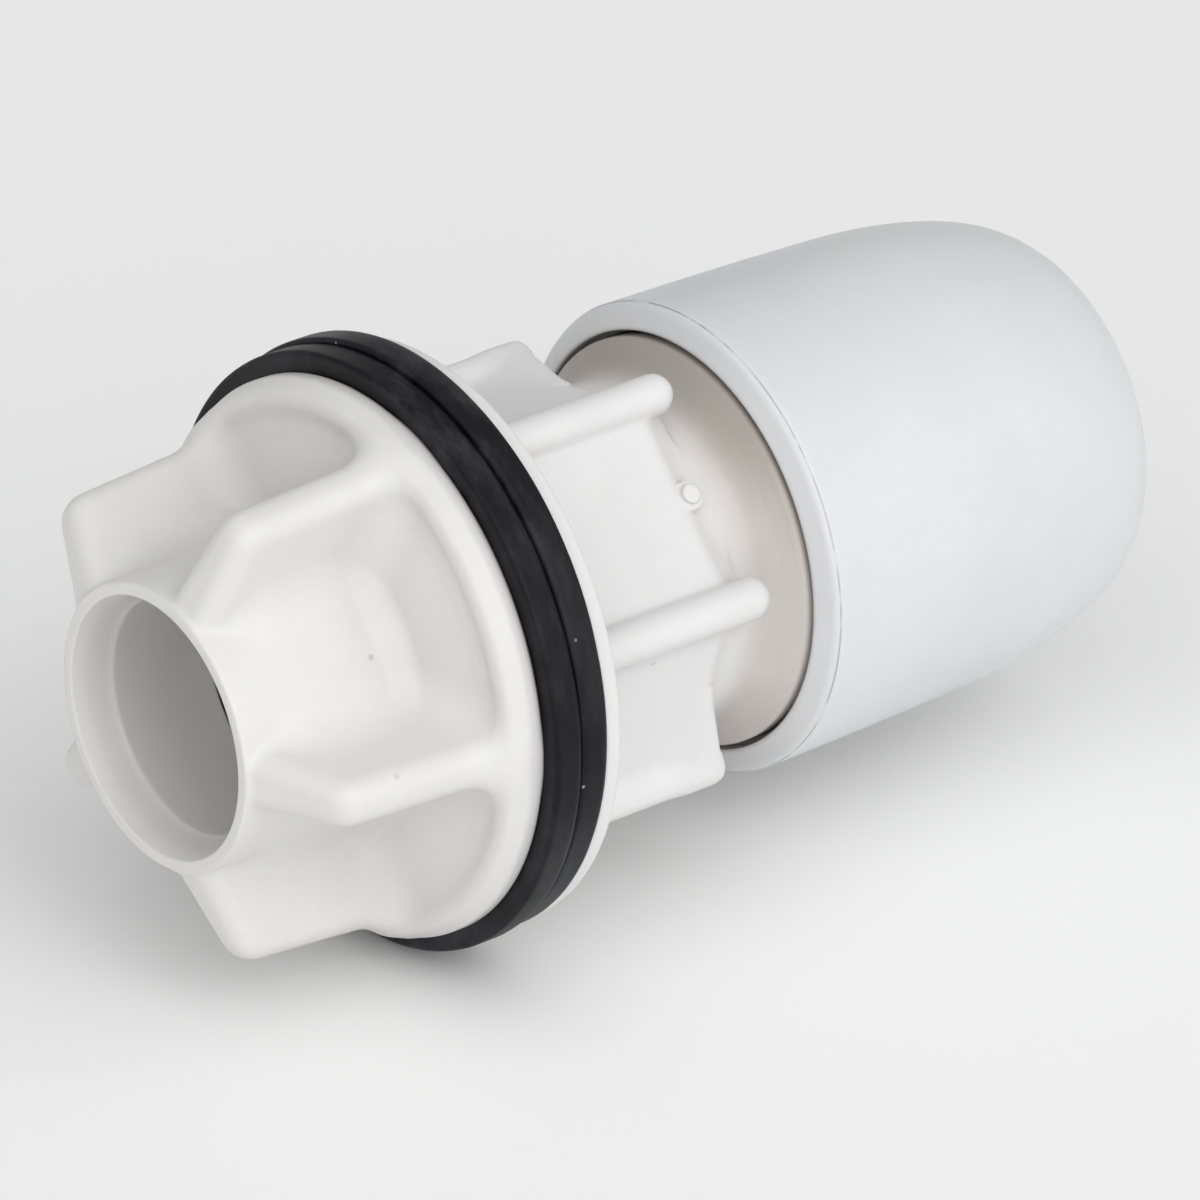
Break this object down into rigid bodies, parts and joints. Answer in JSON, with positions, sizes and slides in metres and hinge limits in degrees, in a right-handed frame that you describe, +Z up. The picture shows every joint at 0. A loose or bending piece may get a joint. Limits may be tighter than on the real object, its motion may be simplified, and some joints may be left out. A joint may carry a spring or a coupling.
{
  "type": "thru hull fitting",
  "caption": "Push-fit through-hull connector: lobed back nut and rubber washers clamp the hull, and a bullet-shaped screw cap grips a plain pipe.",
  "frame": {"origin": "on the fitting's axis, in the seal plane between the two rubber washers, where the hull wall is clamped", "axes": "+X along the axis from the back nut towards the retaining cap and pipe entry, +Z up; the picture shows the fitting lying with its axis level"},
  "size_m": [0.0864, 0.0472, 0.0476],
  "materials": {
    "nut_plastic": "satin moulded white",
    "rubber": "satin black rubber",
    "body_plastic": "satin moulded white",
    "cap_plastic": "smooth moulded white",
    "seal_rubber": "smooth black rubber",
    "acetal": "natural acetal",
    "stainless": "pressed stainless strip"
  },
  "bodies": {
    "body": {"body": "body_plastic", "rear_washer": "rubber", "o_ring": "seal_rubber", "spacer_washer": "acetal"},
    "front_washer": {"front_washer": "rubber"},
    "back_nut": {"back_nut": "nut_plastic"},
    "grip": {"grab_ring": "stainless", "grip_wedge": "acetal"},
    "retaining_cap": {"retaining_cap": "cap_plastic"}
  },
  "joints": [
    {"name": "nut_travel", "type": "slide", "parent": "body", "child": "front_washer", "axis": [-1, 0, 0], "range_m": [0, 0.00726]},
    {"name": "nut_turn", "type": "hinge", "parent": "front_washer", "child": "back_nut", "pos_m": [0, 0, 0], "axis": [-1, 0, 0], "range_deg": [0, 1440]},
    {"name": "cap_travel", "type": "slide", "parent": "body", "child": "grip", "axis": [1, 0, 0], "range_m": [0, 0.00751]},
    {"name": "cap_turn", "type": "hinge", "parent": "grip", "child": "retaining_cap", "pos_m": [0.03, 0, 0], "axis": [1, 0, 0], "range_deg": [0, 1080]}
  ],
  "couplings": [
    {"joint": "nut_travel", "follows": "nut_turn", "m_per_rad": 0.00028875},
    {"joint": "cap_travel", "follows": "cap_turn", "m_per_rad": 0.00039789}
  ]
}
